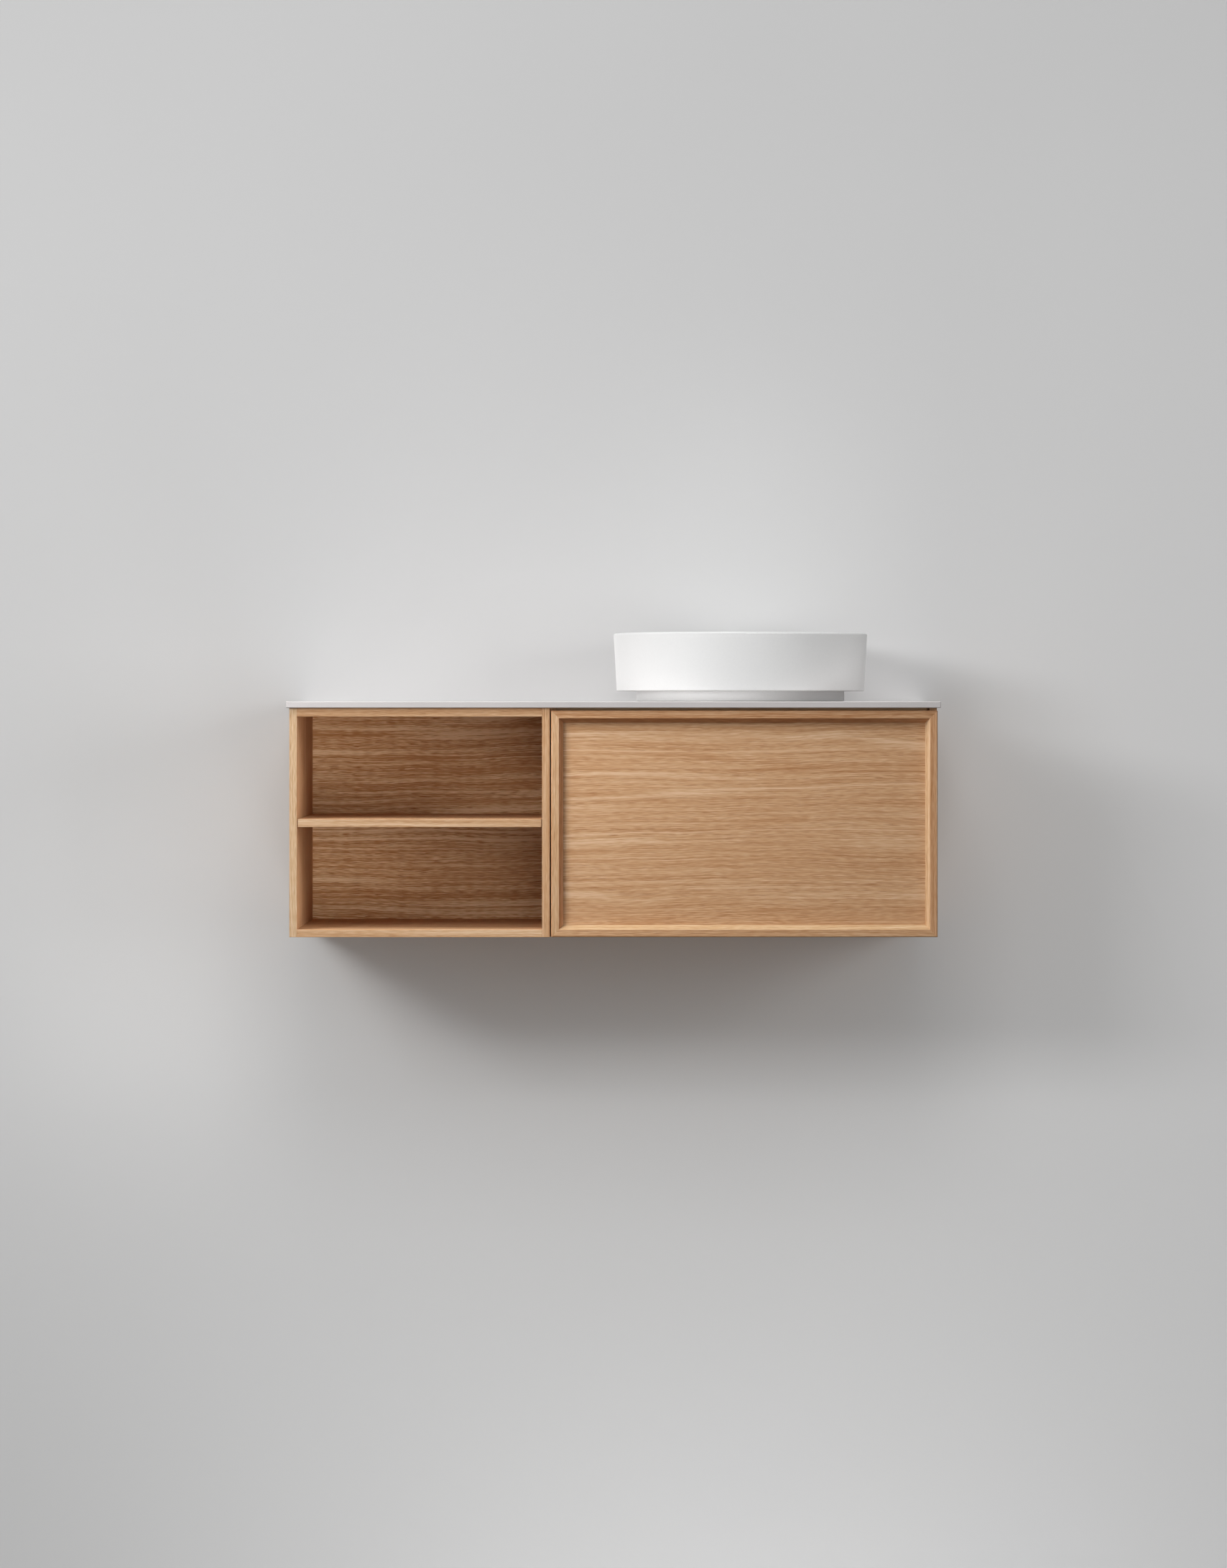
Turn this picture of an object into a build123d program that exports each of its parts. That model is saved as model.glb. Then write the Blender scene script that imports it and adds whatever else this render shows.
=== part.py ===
from build123d import *

import os

# Wall-hung bathroom vanity: an open shelf module, a drawer cabinet, a thin slab over both and a
# round vessel basin above the drawer. Millimetres, X along the wall, Y into the wall, Z up.
# The origin lies on the wall plane, at the middle of the slab, on the line of the wall screws.

# Slab
counter_width = 1200.0
counter_depth = 500.0
counter_thickness = 12.0
counter_edge_radius = 2.0
counter_overhang = 6.0

# Carcass boards
carcass_height = 420.0
board = 14.0
top_board = 16.0
shelf_board = 15.0
back_board = 8.0
back_groove = 6.0
groove_end_gap = 0.5
arris = 0.8

# Shelf module
shelf_module_width = 477.0
shelf_end_gap = 1.0
shelf_setback = 2.0
shelf_rear_gap = 1.0
pin_inset = 70.0
pin_radius = 2.5
pin_in_side = 8.0
pin_in_shelf = 9.0
pin_rise = 4.0
pin_slot_room = 0.3

# Drawer cabinet
front_rail_width = 70.0
front_rail_setback = 60.0
hanging_rail_height = 120.0
lower_rail_height = 80.0
finger_depth = 45.0
finger_height = 50.0

# Dowels between boards
dowel_radius = 3.0
dowel_in_side = 9.0
dowel_in_end = 20.0
dowel_inset = 60.0
dowel_half_pitch = 20.0
hole_clearance = 0.1
hole_end_room = 0.5

# Bolts between the two modules
bolt_radius = 3.0
bolt_head_radius = 7.0
bolt_head_height = 2.5
bolt_head_sink = 0.5
bolt_socket_radius = 2.3
bolt_socket_depth = 1.8
bolt_inset = 80.0
bolt_height_inset = 40.0

# French cleats
cleat_thickness = 18.0
cleat_height = 60.0
cleat_wall_gap = 0.5
cleat_end_gap = 10.0
shelf_wall_screw_spacing = 320.0
drawer_wall_screw_spacing = 480.0
wall_screw_hole_radius = 4.0
wall_screw_head_radius = 10.0
wall_screw_head_depth = 8.0

# Countersunk wood screws
screw_radius = 2.0
screw_head_radius = 4.0
screw_head_height = 2.4
screw_bite = 14.0
cleat_screw_count = 3
front_screw_bite = 6.0
front_screw_inset = 60.0
runner_screw_radius = 1.6
runner_screw_head_radius = 3.2
runner_screw_head_height = 1.1
runner_screw_bite = 9.0
runner_screw_count = 3
runner_screw_inset = 40.0

# Drawer front
module_gap = 3.0
front_top_gap = 5.0
front_gap = 2.0
front_thickness = 22.0
frame_face = 14.0
bevel_width = 8.0
bevel_depth = 14.0
frame_arris = 2.0
rebate = 6.0
panel_edge_gap = 0.2
buffer_radius = 5.0
buffer_inset = 60.0
buffer_play = 0.3

# Drawer box
box_rear_gap = 10.0
box_height = 240.0
box_side = 12.0
box_floor = 8.0
box_floor_raise = 12.0
box_groove = 5.0
recess_half_width = 75.0
recess_reach = 75.0

# Drawer runners
runner_inset = 4.0
runner_rise = 70.0
runner_thickness = 12.7
runner_sheet = 1.2
runner_play = 0.4
outer_half_height = 22.5
middle_half_height = 18.0
inner_half_height = 13.0
outer_flange = 9.5
runner_lip = 1.6

# Vessel basin
basin_height = 128.0
basin_rim_radius = 238.5
basin_base_radius = 232.5
basin_wall = 12.0
basin_rim_round = 3.5
basin_base_round = 1.5
basin_floor_height = 31.0
basin_floor_radius = 222.0
basin_floor_rise = 3.0
basin_floor_round = 38.0
basin_floor_thickness = 12.0
foot_height = 20.0
foot_radius = 195.5
foot_wall = 14.0
boss_radius = 40.0
seal_thickness = 1.0
seal_inset = 3.0

# Waste and plug
tail_radius = 20.95
tail_bore_radius = 16.5
tail_clearance = 0.3
tail_length = 60.0
waste_hole_room = 3.0
flange_radius = 32.0
flange_thickness = 3.0
flange_seal_thickness = 1.5
flange_gap = 1.0
washer_radius = 34.0
washer_thickness = 3.0
lock_nut_corner_radius = 33.0
lock_nut_height = 10.0
guide_height = 10.0
guide_bar = 5.0
guide_boss_radius = 7.5
plug_travel = 8.0
plug_cap_radius = 30.0
plug_cap_height = 5.0
plug_cap_round = 3.0
plug_stem_radius = 4.0
plug_stop_radius = 6.0
plug_stop_height = 2.0
plug_seal_inner = 18.5
plug_seal_outer = 25.0
plug_seal_thickness = 1.7
running_gap = 0.3

# Bottle trap and outlet
pipe_radius = 16.0
pipe_wall = 1.5
union_radius = 27.0
union_height = 22.0
union_floor = 4.0
union_sides = 12
collar_radius = 20.0
collar_height = 3.5
outlet_drop = 219.0
head_radius = 28.0
head_wall = 3.0
head_above_outlet = 30.0
head_below_outlet = 40.0
neck_radius = 21.0
neck_height = 12.0
socket_length = 50.0
cup_wall = 3.5
cup_overlap = 15.0
cup_length = 70.0
cup_round = 12.0
dip_above_cup_floor = 18.0
pipe_in_socket = 18.0
spigot_radius = 15.75
spigot_length = 35.0
rosette_radius = 36.0
rosette_depth = 8.0
rosette_round = 4.0

# Places along X
carcass_left = counter_overhang - counter_width / 2
carcass_right = -carcass_left
shelf_right = carcass_left + shelf_module_width
shelf_inner_left = carcass_left + board
shelf_inner_right = shelf_right - board
shelf_middle = (carcass_left + shelf_right) / 2
drawer_inner_left = shelf_right + board
drawer_inner_right = carcass_right - board
drawer_middle = (shelf_right + carcass_right) / 2
front_left = shelf_right + module_gap
box_left = drawer_inner_left + runner_thickness
box_right = drawer_inner_right - runner_thickness

# Places along Y
carcass_front = counter_overhang - counter_depth
back_rear = -cleat_thickness
back_front = back_rear - back_board
rail_front = back_rear - board
rail_middle = back_rear - board / 2
front_rear = carcass_front + front_thickness
cabinet_front = front_rear + front_gap
floor_front = cabinet_front + finger_depth
box_rear = rail_front - box_rear_gap
basin_y = -counter_depth / 2
recess_front = basin_y - recess_reach
runner_front = cabinet_front + runner_inset
runner_length = box_rear - runner_inset - runner_front

# Heights
cleat_low = (cleat_height - cleat_thickness) / 2
shelf_ceiling = cleat_low + cleat_height
carcass_top = shelf_ceiling + top_board
carcass_bottom = carcass_top - carcass_height
counter_top = carcass_top + counter_thickness
shelf_floor = carcass_bottom + board
shelf_underside = (shelf_ceiling + shelf_floor - shelf_board) / 2
front_top = carcass_top - front_top_gap
box_bottom = carcass_bottom + finger_height
box_top = box_bottom + box_height
box_floor_top = box_bottom + box_floor_raise + box_floor
runner_z = box_bottom + runner_rise
tail_end = counter_top - tail_length
outlet_z = counter_top - outlet_drop

# Bores that follow from what passes through them
basin_hole_radius = tail_radius + waste_hole_room
counter_hole_radius = basin_hole_radius + waste_hole_room

BASE = (Align.CENTER, Align.CENTER, Align.MIN)
INTO_WALL = (0, 1, 0)
OUT_OF_WALL = (0, -1, 0)

os.makedirs("parts", exist_ok=True)


def save(builder, label):
    """Name a finished piece and write it."""
    builder.part.label = label
    export_step(builder.part, f"parts/{label}.step")


def block(low, high, mode=Mode.ADD):
    """A box between two corners."""
    size = Vector(high) - Vector(low)
    with Locations(Vector(low) + size / 2):
        Box(size.X, size.Y, size.Z, mode=mode)


def rod(start, end, radius, mode=Mode.ADD):
    """A round bar between two points."""
    path = Vector(end) - Vector(start)
    with Locations(Plane(origin=start, z_dir=path)):
        Cylinder(radius, path.length, align=BASE, mode=mode)


def ring(start, end, outer, inner):
    """A round tube between two points, in a part that holds nothing else there."""
    rod(start, end, outer)
    rod(start, end, inner, Mode.SUBTRACT)


def screw(head, towards, length, shank, head_radius, head_height, mode=Mode.ADD):
    """A countersunk screw, or its hole, with the flat of its head at one point."""
    with Locations(Plane(origin=head, z_dir=towards)):
        Cone(head_radius, shank, head_height, align=BASE, mode=mode)
        Cylinder(shank, length, align=BASE, mode=mode)


def round_front_edges(builder):
    """Ease the edges round a board's front face."""
    fillet(builder.faces().sort_by(Axis.Y)[0].outer_wire().edges(), arris)


def dowels(places, hole=False):
    """Dowels across a joint between a side board and a board's end, or the holes for them."""
    room = hole_end_room if hole else 0
    radius = dowel_radius + (hole_clearance if hole else 0)
    for joint_x, side, y, z in places:
        start = (joint_x + side * (dowel_in_side + room), y, z)
        end = (joint_x - side * (dowel_in_end + room), y, z)
        rod(start, end, radius, Mode.SUBTRACT if hole else Mode.ADD)


def both_ends(left_x, right_x, points):
    """Dowel places at both ends of a board, from points in the end's plane."""
    left = [(left_x, -1, y, z) for y, z in points]
    right = [(right_x, 1, y, z) for y, z in points]
    return left + right


# Slab with a hole for the waste
with BuildPart() as countertop:
    block((-counter_width / 2, -counter_depth, carcass_top), (counter_width / 2, 0, counter_top))
    fillet(countertop.edges(), counter_edge_radius)
    with Locations((drawer_middle, basin_y, counter_top)):
        Hole(counter_hole_radius, depth=counter_thickness)
save(countertop, "countertop")

# Dowel places of the shelf module
shelf_dowel_ys = (carcass_front + dowel_inset, -dowel_inset)
top_z = carcass_top - top_board / 2
bottom_z = carcass_bottom + board / 2
shelf_dowel_points = [(y, z) for y in shelf_dowel_ys for z in (top_z, bottom_z)]
shelf_dowel_places = both_ends(shelf_inner_left, shelf_inner_right, shelf_dowel_points)

# Hidden shelf pins: each lies in a hole in the side and in a slot under the shelf's end
pin_ys = (carcass_front + pin_inset, back_front - pin_inset)
pin_z = shelf_underside + pin_rise
pin_places = [(shelf_inner_left, 1, y) for y in pin_ys]
pin_places += [(shelf_inner_right, -1, y) for y in pin_ys]

# Bolts through the two sides that stand back to back
bolt_ys = (carcass_front + bolt_inset, -bolt_inset)
bolt_zs = (shelf_floor + bolt_height_inset, shelf_ceiling - bolt_height_inset)
bolt_points = [(y, z) for y in bolt_ys for z in bolt_zs]
bolt_head_face = shelf_inner_right + bolt_head_sink
bolt_head_seat = bolt_head_face + bolt_head_height


def bolt_holes():
    """Clear holes for the bolts between the modules, with their heads let into the shelf side."""
    for y, z in bolt_points:
        start = (shelf_inner_right, y, z)
        rod(start, (drawer_inner_left, y, z), bolt_radius + hole_clearance, Mode.SUBTRACT)
        rod(start, (bolt_head_seat, y, z), bolt_head_radius + hole_clearance, Mode.SUBTRACT)


def back_panel_space():
    """The groove that holds the back panel's edges."""
    reach = back_groove + groove_end_gap
    low = (shelf_inner_left - reach, back_front, shelf_floor - reach)
    high = (shelf_inner_right + reach, back_rear, shelf_ceiling + reach)
    block(low, high, Mode.SUBTRACT)


def pin_holes():
    """Holes in the sides for the shelf pins."""
    for x, side, y in pin_places:
        end = (x - side * (pin_in_side + hole_end_room), y, pin_z)
        rod((x, y, pin_z), end, pin_radius + hole_clearance, Mode.SUBTRACT)


def pin_slots():
    """Slots under the shelf's ends, which rest on the pins and lift off them."""
    for x, side, y in pin_places:
        end_x = x + side * (pin_in_shelf + hole_end_room)
        block(
            (min(x, end_x), y - pin_radius - pin_slot_room, shelf_underside),
            (max(x, end_x), y + pin_radius + pin_slot_room, pin_z + pin_radius),
            Mode.SUBTRACT,
        )


# Shelf module
with BuildPart() as shelf_left_side:
    block((carcass_left, carcass_front, carcass_bottom), (shelf_inner_left, 0, carcass_top))
    round_front_edges(shelf_left_side)
    back_panel_space()
    dowels(shelf_dowel_places, hole=True)
    pin_holes()
save(shelf_left_side, "shelf_left_side")

with BuildPart() as shelf_right_side:
    block((shelf_inner_right, carcass_front, carcass_bottom), (shelf_right, 0, carcass_top))
    round_front_edges(shelf_right_side)
    back_panel_space()
    dowels(shelf_dowel_places, hole=True)
    pin_holes()
    bolt_holes()
save(shelf_right_side, "shelf_right_side")

# The top panel is screwed down into the hanging cleat, under the slab
cleat_middle_y = -(cleat_thickness + cleat_wall_gap) / 2
shelf_width = shelf_inner_right - shelf_inner_left
shelf_screw_pitch = shelf_width / cleat_screw_count
shelf_screw_xs = [
    shelf_middle + shelf_screw_pitch * (i - (cleat_screw_count - 1) / 2)
    for i in range(cleat_screw_count)
]


def shelf_cleat_screws(room=0.0, mode=Mode.ADD):
    """Screws from the top panel down into the shelf's hanging cleat, or their holes."""
    for x in shelf_screw_xs:
        screw(
            (x, cleat_middle_y, carcass_top),
            (0, 0, -1),
            top_board + screw_bite + room,
            screw_radius + room,
            screw_head_radius + room,
            screw_head_height,
            mode,
        )


with BuildPart() as shelf_top_panel:
    block((shelf_inner_left, carcass_front, shelf_ceiling), (shelf_inner_right, 0, carcass_top))
    round_front_edges(shelf_top_panel)
    back_panel_space()
    dowels(shelf_dowel_places, hole=True)
    shelf_cleat_screws(hole_clearance, Mode.SUBTRACT)
save(shelf_top_panel, "shelf_top_panel")

with BuildPart() as shelf_bottom_panel:
    block((shelf_inner_left, carcass_front, carcass_bottom), (shelf_inner_right, 0, shelf_floor))
    round_front_edges(shelf_bottom_panel)
    back_panel_space()
    dowels(shelf_dowel_places, hole=True)
save(shelf_bottom_panel, "shelf_bottom_panel")

with BuildPart() as shelf_back_panel:
    block(
        (shelf_inner_left - back_groove, back_front, shelf_floor - back_groove),
        (shelf_inner_right + back_groove, back_rear, shelf_ceiling + back_groove),
    )
save(shelf_back_panel, "shelf_back_panel")

with BuildPart() as middle_shelf:
    block(
        (shelf_inner_left + shelf_end_gap, carcass_front + shelf_setback, shelf_underside),
        (shelf_inner_right - shelf_end_gap, back_front - shelf_rear_gap, shelf_underside + shelf_board),
    )
    round_front_edges(middle_shelf)
    pin_slots()
save(middle_shelf, "middle_shelf")

with BuildPart() as shelf_supports:
    for x, side, y in pin_places:
        rod((x - side * pin_in_side, y, pin_z), (x + side * pin_in_shelf, y, pin_z), pin_radius)
save(shelf_supports, "shelf_supports")

with BuildPart() as module_bolts:
    for y, z in bolt_points:
        rod((bolt_head_seat, y, z), (drawer_inner_left, y, z), bolt_radius)
        rod((bolt_head_face, y, z), (bolt_head_seat, y, z), bolt_head_radius)
        rod((drawer_inner_left, y, z), (drawer_inner_left + bolt_head_height, y, z), bolt_head_radius)
        with BuildSketch(Plane((bolt_head_face, y, z), x_dir=(0, 1, 0), z_dir=(-1, 0, 0))):
            RegularPolygon(bolt_socket_radius, 6)
        extrude(amount=-bolt_socket_depth, mode=Mode.SUBTRACT)
save(module_bolts, "module_bolts")

# Dowel places of the drawer cabinet
front_rail_front = cabinet_front + front_rail_setback
front_rail_y = front_rail_front + front_rail_width / 2
hanging_rail_z = carcass_top - hanging_rail_height / 2
lower_rail_z = shelf_floor + lower_rail_height / 2
floor_points = [(y, bottom_z) for y in (floor_front + dowel_inset, -dowel_inset)]
front_rail_points = [
    (front_rail_y + step, carcass_top - board / 2) for step in (-dowel_half_pitch, dowel_half_pitch)
]
rear_rail_points = [
    (rail_middle, z + step)
    for z in (hanging_rail_z, lower_rail_z)
    for step in (-dowel_half_pitch, dowel_half_pitch)
]
cabinet_points = floor_points + front_rail_points + rear_rail_points
cabinet_dowel_places = both_ends(drawer_inner_left, drawer_inner_right, cabinet_points)

# Runner screws into the cabinet sides and the drawer sides
runner_screw_pitch = (runner_length - 2 * runner_screw_inset) / (runner_screw_count - 1)
runner_screw_ys = [
    runner_front + runner_screw_inset + runner_screw_pitch * i for i in range(runner_screw_count)
]


def runner_screws(wall_x, side, room=0.0, mode=Mode.ADD):
    """Screws of one runner member with the heads in its web, which lies on the inward side."""
    for y in runner_screw_ys:
        screw(
            (wall_x + side * runner_sheet, y, runner_z),
            (-side, 0, 0),
            runner_sheet + runner_screw_bite + room,
            runner_screw_radius + room,
            runner_screw_head_radius + room,
            runner_screw_head_height,
            mode,
        )


# Drawer cabinet
with BuildPart() as cabinet_left_side:
    block((shelf_right, cabinet_front, carcass_bottom), (drawer_inner_left, 0, carcass_top))
    dowels(cabinet_dowel_places, hole=True)
    runner_screws(drawer_inner_left, 1, hole_clearance, Mode.SUBTRACT)
    bolt_holes()
save(cabinet_left_side, "cabinet_left_side")

with BuildPart() as cabinet_right_side:
    block((drawer_inner_right, cabinet_front, carcass_bottom), (carcass_right, 0, carcass_top))
    round_front_edges(cabinet_right_side)
    dowels(cabinet_dowel_places, hole=True)
    runner_screws(drawer_inner_right, -1, hole_clearance, Mode.SUBTRACT)
save(cabinet_right_side, "cabinet_right_side")

with BuildPart() as cabinet_bottom:
    block((drawer_inner_left, floor_front, carcass_bottom), (drawer_inner_right, 0, shelf_floor))
    round_front_edges(cabinet_bottom)
    dowels(cabinet_dowel_places, hole=True)
save(cabinet_bottom, "cabinet_bottom")

with BuildPart() as cabinet_front_rail:
    block(
        (drawer_inner_left, front_rail_front, carcass_top - board),
        (drawer_inner_right, front_rail_front + front_rail_width, carcass_top),
    )
    dowels(cabinet_dowel_places, hole=True)
save(cabinet_front_rail, "cabinet_front_rail")

drawer_screw_pitch = (drawer_inner_right - drawer_inner_left) / cleat_screw_count
drawer_screw_xs = [
    drawer_middle + drawer_screw_pitch * (i - (cleat_screw_count - 1) / 2)
    for i in range(cleat_screw_count)
]
drawer_screw_z = (cleat_low + cleat_thickness + shelf_ceiling) / 2


def drawer_cleat_screws(room=0.0, mode=Mode.ADD):
    """Screws from the hanging rail back into the drawer cabinet's cleat, or their holes."""
    for x in drawer_screw_xs:
        screw(
            (x, rail_front, drawer_screw_z),
            INTO_WALL,
            board + screw_bite + room,
            screw_radius + room,
            screw_head_radius + room,
            screw_head_height,
            mode,
        )


with BuildPart() as cabinet_hanging_rail:
    block(
        (drawer_inner_left, rail_front, carcass_top - hanging_rail_height),
        (drawer_inner_right, back_rear, carcass_top),
    )
    dowels(cabinet_dowel_places, hole=True)
    drawer_cleat_screws(hole_clearance, Mode.SUBTRACT)
save(cabinet_hanging_rail, "cabinet_hanging_rail")

with BuildPart() as cabinet_lower_rail:
    block(
        (drawer_inner_left, rail_front, shelf_floor),
        (drawer_inner_right, back_rear, shelf_floor + lower_rail_height),
    )
    dowels(cabinet_dowel_places, hole=True)
save(cabinet_lower_rail, "cabinet_lower_rail")

with BuildPart() as carcass_dowels:
    dowels(shelf_dowel_places)
    dowels(cabinet_dowel_places)
save(carcass_dowels, "carcass_dowels")

# Soft buffers on the front edges of the cabinet sides
buffer_xs = (shelf_right + board / 2, carcass_right - board / 2)
with BuildPart() as drawer_buffers:
    for x in buffer_xs:
        for z in (carcass_bottom + buffer_inset, front_top - buffer_inset):
            rod((x, cabinet_front, z), (x, front_rear + buffer_play, z), buffer_radius)
save(drawer_buffers, "drawer_buffers")


def hanging_cleat(left, right):
    """Cleat on a module: its lower edge is bevelled and hooks behind the wall cleat."""
    with BuildSketch(Plane.YZ.offset(left)) as section:
        with BuildLine():
            Polyline(
                (-cleat_wall_gap, cleat_low + cleat_wall_gap),
                (-cleat_wall_gap, shelf_ceiling),
                (-cleat_thickness, shelf_ceiling),
                (-cleat_thickness, cleat_low + cleat_thickness),
                close=True,
            )
        make_face()
    extrude(section.sketch, amount=right - left)


def wall_cleat(left, right, middle, spacing):
    """Cleat on the wall: its upper edge is bevelled, and its screw heads lie below its face."""
    bottom = cleat_low + cleat_thickness - cleat_height
    with BuildSketch(Plane.YZ.offset(left)) as section:
        with BuildLine():
            Polyline(
                (0, bottom),
                (0, cleat_low),
                (-cleat_thickness, cleat_low + cleat_thickness),
                (-cleat_thickness, bottom),
                close=True,
            )
        make_face()
    extrude(section.sketch, amount=right - left)
    face = Plane(origin=(middle, -cleat_thickness, 0), x_dir=(1, 0, 0), z_dir=OUT_OF_WALL)
    with Locations(face):
        with GridLocations(spacing, 0, 2, 1):
            CounterBoreHole(wall_screw_hole_radius, wall_screw_head_radius, wall_screw_head_depth)


with BuildPart() as shelf_hanging_cleat:
    hanging_cleat(shelf_inner_left, shelf_inner_right)
    shelf_cleat_screws(hole_clearance, Mode.SUBTRACT)
save(shelf_hanging_cleat, "shelf_hanging_cleat")

with BuildPart() as drawer_hanging_cleat:
    hanging_cleat(drawer_inner_left, drawer_inner_right)
    drawer_cleat_screws(hole_clearance, Mode.SUBTRACT)
save(drawer_hanging_cleat, "drawer_hanging_cleat")

with BuildPart() as shelf_wall_cleat:
    wall_cleat(
        shelf_inner_left + cleat_end_gap,
        shelf_inner_right - cleat_end_gap,
        shelf_middle,
        shelf_wall_screw_spacing,
    )
save(shelf_wall_cleat, "shelf_wall_cleat")

with BuildPart() as drawer_wall_cleat:
    wall_cleat(
        drawer_inner_left + cleat_end_gap,
        drawer_inner_right - cleat_end_gap,
        drawer_middle,
        drawer_wall_screw_spacing,
    )
save(drawer_wall_cleat, "drawer_wall_cleat")

with BuildPart() as cleat_screws:
    shelf_cleat_screws()
    drawer_cleat_screws()
save(cleat_screws, "cleat_screws")


# Drawer runners: three nested channels on each side, seen along Y, with the web of the outer and
# middle members towards the cabinet and the web of the inner member on the drawer
def channel(wall_x, side, web, tip, half_height):
    """One channel of bent sheet, from its web to the tips of its flanges, with lips bent inward."""
    sheet = runner_sheet if tip > web else -runner_sheet
    inside = half_height - runner_sheet
    lip_end = inside - runner_lip
    points = [
        (web, -half_height),
        (web, half_height),
        (tip, half_height),
        (tip, lip_end),
        (tip - sheet, lip_end),
        (tip - sheet, inside),
        (web + sheet, inside),
        (web + sheet, -inside),
        (tip - sheet, -inside),
        (tip - sheet, -lip_end),
        (tip, -lip_end),
        (tip, -half_height),
    ]
    across = Plane(origin=(wall_x, runner_front, runner_z), x_dir=(side, 0, 0), z_dir=(0, -side, 0))
    with BuildSketch(across) as section:
        with BuildLine():
            Polyline(*points, close=True)
        make_face()
    extrude(section.sketch, amount=-side * runner_length)


middle_web = runner_sheet + runner_play
middle_tip = runner_thickness - runner_sheet - runner_play
inner_tip = middle_web + runner_sheet + runner_play

for side_name, wall_x, side in (("left", drawer_inner_left, 1), ("right", drawer_inner_right, -1)):
    with BuildPart() as runner_outer:
        channel(wall_x, side, 0, outer_flange, outer_half_height)
        runner_screws(wall_x, side, hole_clearance, Mode.SUBTRACT)
    save(runner_outer, f"{side_name}_runner_outer")

    with BuildPart() as runner_middle:
        channel(wall_x, side, middle_web, middle_tip, middle_half_height)
    save(runner_middle, f"{side_name}_runner_middle")

    with BuildPart() as runner_inner:
        channel(wall_x, side, runner_thickness, inner_tip, inner_half_height)
        runner_screws(wall_x + side * runner_thickness, -side, hole_clearance, Mode.SUBTRACT)
    save(runner_inner, f"{side_name}_runner_inner")

with BuildPart() as runner_cabinet_screws:
    runner_screws(drawer_inner_left, 1)
    runner_screws(drawer_inner_right, -1)
save(runner_cabinet_screws, "runner_cabinet_screws")

with BuildPart() as runner_drawer_screws:
    runner_screws(box_left, -1)
    runner_screws(box_right, 1)
save(runner_drawer_screws, "runner_drawer_screws")


# Drawer front: four mitred members with a bevelled inner edge, and a panel in their rebate
front_bottom = carcass_bottom
corners = {
    "left_top": (front_left, 0, front_top),
    "right_top": (carcass_right, 0, front_top),
    "left_bottom": (front_left, 0, front_bottom),
    "right_bottom": (carcass_right, 0, front_bottom),
}


def frame_member(plane, length, first_corner, first_keep, second_corner, second_keep):
    """One member: its section, drawn from the outer edge inward, run along and mitred at both ends."""
    outline = (
        (0, 0),
        (frame_face, 0),
        (frame_face + bevel_width, bevel_depth),
        (frame_face + bevel_width - rebate, bevel_depth),
        (frame_face + bevel_width - rebate, front_thickness),
        (0, front_thickness),
    )
    with BuildSketch(plane) as section:
        with BuildLine():
            FilletPolyline(*outline, radius=(frame_arris, arris, 0, 0, 0, arris), close=True)
        make_face()
    extrude(section.sketch, amount=length)
    split(bisect_by=Plane(origin=corners[first_corner], z_dir=first_keep), keep=Keep.TOP)
    split(bisect_by=Plane(origin=corners[second_corner], z_dir=second_keep), keep=Keep.TOP)


front_width = carcass_right - front_left
front_height = front_top - front_bottom

with BuildPart() as drawer_top_rail:
    start = Plane(origin=(front_left, carcass_front, front_top), x_dir=(0, 0, -1), z_dir=(1, 0, 0))
    frame_member(start, front_width, "left_top", (1, 0, 1), "right_top", (-1, 0, 1))
save(drawer_top_rail, "drawer_top_rail")

with BuildPart() as drawer_bottom_rail:
    start = Plane(origin=(carcass_right, carcass_front, front_bottom), x_dir=(0, 0, 1), z_dir=(-1, 0, 0))
    frame_member(start, front_width, "left_bottom", (1, 0, -1), "right_bottom", (-1, 0, -1))
save(drawer_bottom_rail, "drawer_bottom_rail")

with BuildPart() as drawer_left_stile:
    start = Plane(origin=(front_left, carcass_front, front_bottom), x_dir=(1, 0, 0), z_dir=(0, 0, 1))
    frame_member(start, front_height, "left_top", (-1, 0, -1), "left_bottom", (-1, 0, 1))
save(drawer_left_stile, "drawer_left_stile")

with BuildPart() as drawer_right_stile:
    start = Plane(origin=(carcass_right, carcass_front, front_top), x_dir=(-1, 0, 0), z_dir=(0, 0, -1))
    frame_member(start, front_height, "right_top", (1, 0, -1), "right_bottom", (1, 0, 1))
save(drawer_right_stile, "drawer_right_stile")

# Screws from inside the drawer box into the panel
box_inner_left = box_left + box_side
box_inner_right = box_right - box_side
box_front_inner = front_rear + box_side
front_screw_xs = (box_inner_left + front_screw_inset, drawer_middle, box_inner_right - front_screw_inset)
front_screw_zs = (box_floor_top + front_screw_inset, box_top - front_screw_inset)


def front_screws(room=0.0, mode=Mode.ADD):
    """Screws that hold the front on the box, or their holes."""
    for x in front_screw_xs:
        for z in front_screw_zs:
            screw(
                (x, box_front_inner, z),
                OUT_OF_WALL,
                box_side + front_screw_bite + room,
                screw_radius + room,
                screw_head_radius + room,
                screw_head_height,
                mode,
            )


panel_inset = frame_face + bevel_width - rebate + panel_edge_gap
with BuildPart() as drawer_panel:
    block(
        (front_left + panel_inset, carcass_front + bevel_depth, front_bottom + panel_inset),
        (carcass_right - panel_inset, front_rear, front_top - panel_inset),
    )
    front_screws(hole_clearance, Mode.SUBTRACT)
save(drawer_panel, "drawer_panel")

with BuildPart() as drawer_front_screws:
    front_screws()
save(drawer_front_screws, "drawer_front_screws")

# Drawer box with a recess from the back that leaves room for the trap
recess_left = drawer_middle - recess_half_width
recess_right = drawer_middle + recess_half_width
box_floor_low = box_floor_top - box_floor


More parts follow.
